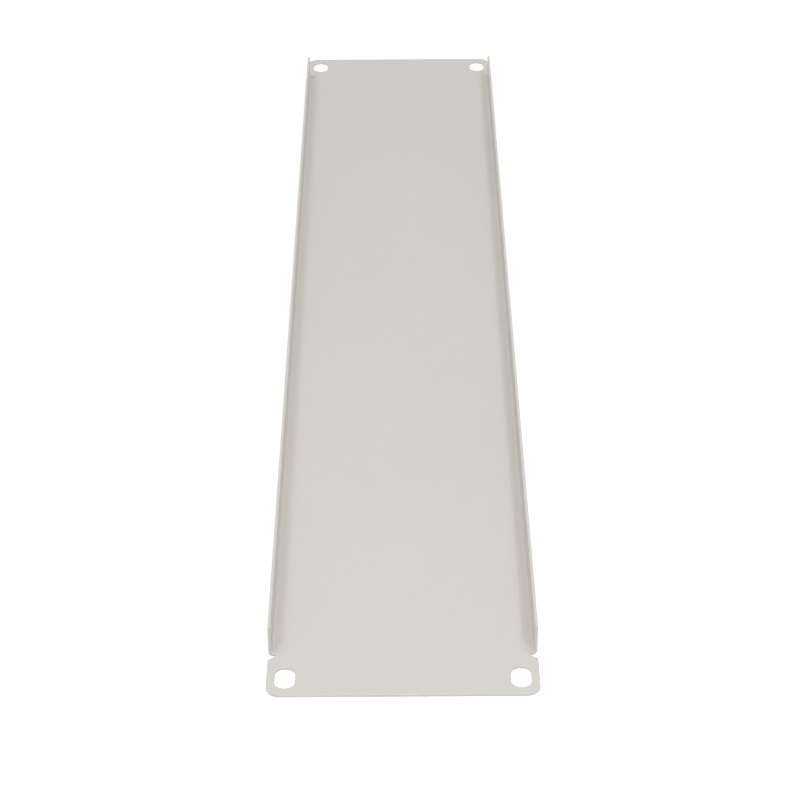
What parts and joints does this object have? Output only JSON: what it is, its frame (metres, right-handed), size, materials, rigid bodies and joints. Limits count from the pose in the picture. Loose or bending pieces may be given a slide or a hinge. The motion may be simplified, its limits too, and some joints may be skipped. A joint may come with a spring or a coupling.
{
  "type": "rack blanking panel",
  "caption": "Folded sheet-steel panel that closes two rack units of a 19-inch rack, with slotted ears and two stiffening flanges.",
  "frame": {"origin": "middle of the front face, the plain face that the room sees, which lies down here", "axes": "+X along the panel's length from ear to ear, +Y across its height, +Z out of its back, the way the flanges stand"},
  "size_m": [0.4826, 0.0882, 0.012],
  "materials": {
    "powder_coat": "warm light grey powder coat with a fine even texture, semi-matt"
  },
  "bodies": {
    "root": {"blanking_panel": "powder_coat"}
  },
  "joints": []
}
